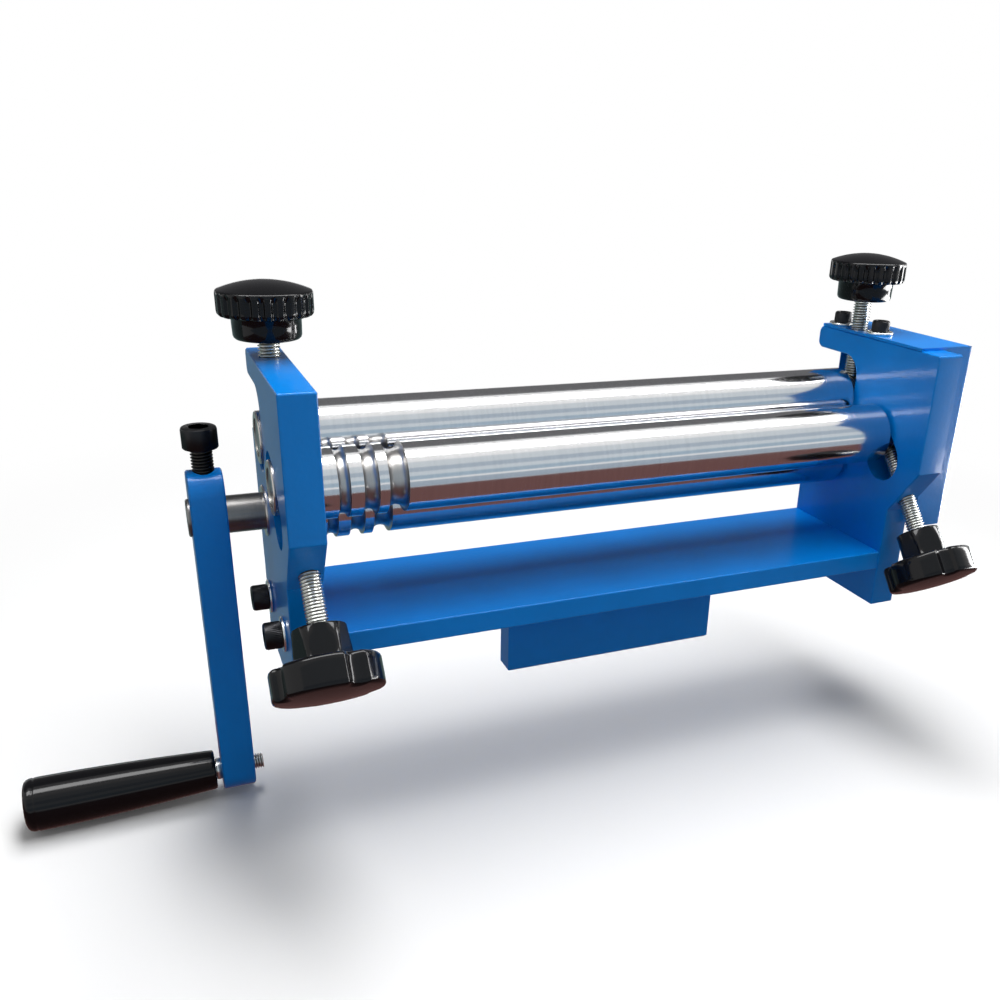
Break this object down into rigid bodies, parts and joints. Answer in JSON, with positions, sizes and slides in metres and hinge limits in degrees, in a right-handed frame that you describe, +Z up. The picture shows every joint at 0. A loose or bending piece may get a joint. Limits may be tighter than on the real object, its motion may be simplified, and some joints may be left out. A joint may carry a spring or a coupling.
{
  "type": "slip roll machine",
  "caption": "Small bench slip roll: geared upper and lower rolls, a forming roll set by slanted screws, hand crank, and a tongue to clamp in a vise.",
  "frame": {"origin": "centre of the clamping tongue's bottom face", "axes": "+X along the rolls from the crank end to the gear end, +Y to the back, away from the operator, +Z up"},
  "size_m": [0.4969, 0.1396, 0.2713],
  "materials": {
    "blue_paint": "gloss blue enamel",
    "roll_steel": "ground and polished steel",
    "black_screw": "black oxide",
    "zinc_screw": "bright zinc plate",
    "knob_plastic": "gloss black moulding",
    "gear_steel": "machined steel"
  },
  "bodies": {
    "frame": {"left_side_plate": "blue_paint", "right_side_plate": "blue_paint", "base_plate": "blue_paint", "clamp_tongue": "blue_paint", "base_screws_left": "black_screw", "base_screws_right": "black_screw", "base_washers_left": "zinc_screw", "base_washers_right": "zinc_screw", "lower_bush_left": "gear_steel", "lower_bush_right": "gear_steel", "gear_guard": "blue_paint", "guard_screws": "black_screw", "guard_washers": "zinc_screw"},
    "driven_roll": {"lower_roll": "roll_steel", "lower_gear": "gear_steel", "lower_gear_key": "gear_steel", "lower_gear_clip": "gear_steel", "crank_arm": "blue_paint", "crank_clamp_screw": "black_screw", "handle_spindle": "zinc_screw"},
    "grip": {"handle_grip": "knob_plastic"},
    "upper_carriage": {"upper_bush_left": "gear_steel", "upper_bush_right": "gear_steel"},
    "upper_roll": {"upper_roll": "roll_steel", "upper_gear": "gear_steel", "upper_gear_key": "gear_steel", "upper_gear_clip": "gear_steel"},
    "top_screw_left": {"top_screw_left": "zinc_screw", "top_knob_left": "knob_plastic"},
    "top_screw_right": {"top_screw_right": "zinc_screw", "top_knob_right": "knob_plastic"},
    "forming_carriage": {"forming_bush_left": "gear_steel", "forming_bush_right": "gear_steel"},
    "forming_roll": {"forming_roll": "roll_steel"},
    "forming_screw_left": {"forming_screw_left": "zinc_screw", "star_knob_left": "knob_plastic"},
    "forming_screw_right": {"forming_screw_right": "zinc_screw", "star_knob_right": "knob_plastic"}
  },
  "joints": [
    {"name": "crank_spin", "type": "hinge", "parent": "frame", "child": "driven_roll", "pos_m": [0, 0.026, 0.094], "axis": [1, 0, 0], "continuous": true},
    {"name": "grip_spin", "type": "hinge", "parent": "driven_roll", "child": "grip", "pos_m": [-0.25, 0.026, -0.046], "axis": [1, 0, 0], "continuous": true},
    {"name": "upper_lift", "type": "slide", "parent": "frame", "child": "upper_carriage", "axis": [0, 0, 1], "range_m": [-0.003, 0.012]},
    {"name": "upper_roll_spin", "type": "hinge", "parent": "upper_carriage", "child": "upper_roll", "pos_m": [0, 0.026, 0.1303], "axis": [1, 0, 0], "continuous": true},
    {"name": "top_screw_left_turn", "type": "hinge", "parent": "upper_carriage", "child": "top_screw_left", "pos_m": [-0.168, 0.026, 0.15], "axis": [0, 0, 1], "range_deg": [-720, 2880]},
    {"name": "top_screw_right_turn", "type": "hinge", "parent": "upper_carriage", "child": "top_screw_right", "pos_m": [0.168, 0.026, 0.15], "axis": [0, 0, 1], "range_deg": [-720, 2880]},
    {"name": "forming_slide", "type": "slide", "parent": "frame", "child": "forming_carriage", "axis": [0, 0.6293, 0.7771], "range_m": [-0.0164, 0.0041]},
    {"name": "forming_roll_spin", "type": "hinge", "parent": "forming_carriage", "child": "forming_roll", "pos_m": [0, -0.00918, 0.11675], "axis": [1, 0, 0], "continuous": true},
    {"name": "forming_screw_left_turn", "type": "hinge", "parent": "forming_carriage", "child": "forming_screw_left", "pos_m": [-0.1664, -0.00918, 0.11675], "axis": [0, 0.6293, 0.7771], "range_deg": [-3936, 984]},
    {"name": "forming_screw_right_turn", "type": "hinge", "parent": "forming_carriage", "child": "forming_screw_right", "pos_m": [0.168, -0.00918, 0.11675], "axis": [0, 0.6293, 0.7771], "range_deg": [-3936, 984]}
  ],
  "couplings": [
    {"joint": "upper_roll_spin", "follows": "crank_spin", "ratio": -1},
    {"joint": "top_screw_left_turn", "follows": "upper_lift", "rad_per_m": 4188.8},
    {"joint": "top_screw_right_turn", "follows": "upper_lift", "rad_per_m": 4188.8},
    {"joint": "forming_screw_left_turn", "follows": "forming_slide", "rad_per_m": 4188.8},
    {"joint": "forming_screw_right_turn", "follows": "forming_slide", "rad_per_m": 4188.8}
  ]
}
